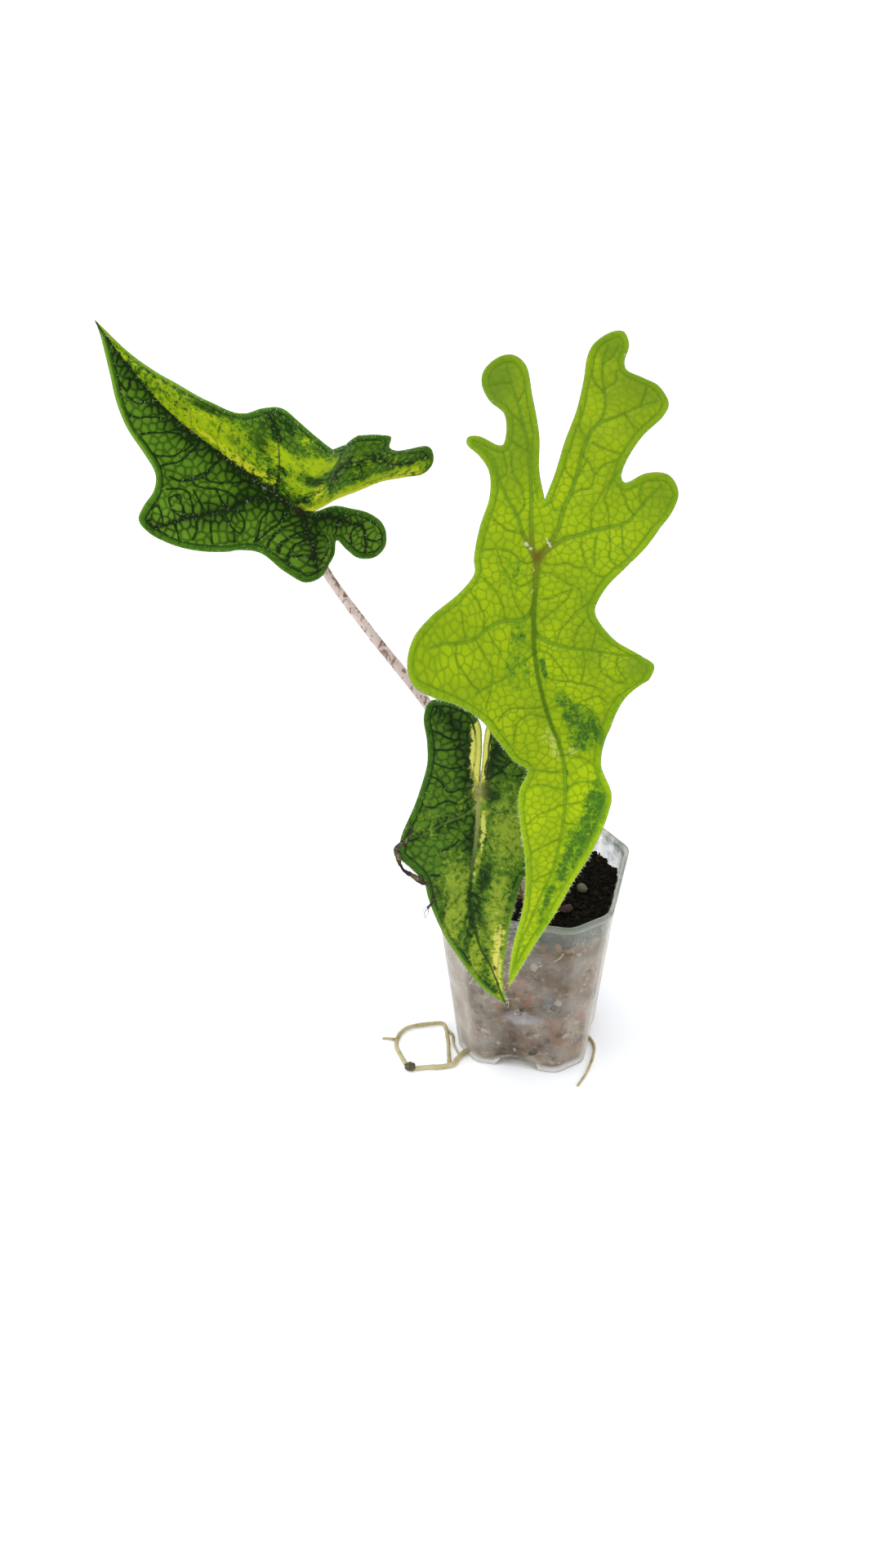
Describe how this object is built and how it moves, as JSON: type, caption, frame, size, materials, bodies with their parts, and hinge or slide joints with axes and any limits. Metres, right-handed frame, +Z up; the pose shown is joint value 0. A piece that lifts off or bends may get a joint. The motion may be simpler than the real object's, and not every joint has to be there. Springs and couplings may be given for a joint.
{
  "type": "potted houseplant",
  "caption": "Young alocasia with deeply lobed lime and dark green variegated leaves on slender pale stalks, in a small clear square nursery pot.",
  "frame": {"origin": "centre of the pot's underside, on the surface the pot stands on", "axes": "+Z up, +X to the right when the plant is seen from its front, +Y towards its back"},
  "size_m": [0.2099, 0.1225, 0.2939],
  "materials": {
    "clear_plastic": "satin",
    "potting_mix": "matte",
    "corm_skin": "matte",
    "stem_skin": "satin",
    "leaf_lime": "satin",
    "leaf_dark": "satin",
    "root_skin": "matte",
    "bark": "matte",
    "pumice": "matte"
  },
  "bodies": {
    "root": {"pot": "clear_plastic", "potting_mix": "potting_mix", "corm": "corm_skin", "petiole_front": "stem_skin", "petiole_left": "stem_skin", "petiole_low": "stem_skin", "blade_front": "leaf_lime", "blade_left": "leaf_dark", "blade_low": "leaf_dark", "root_ring": "root_skin", "root_tip": "root_skin", "bark_chip_1": "bark", "bark_chip_2": "bark", "bark_chip_3": "bark", "bark_chip_4": "bark", "pumice_1": "pumice", "pumice_2": "pumice", "pumice_3": "pumice"}
  },
  "joints": []
}
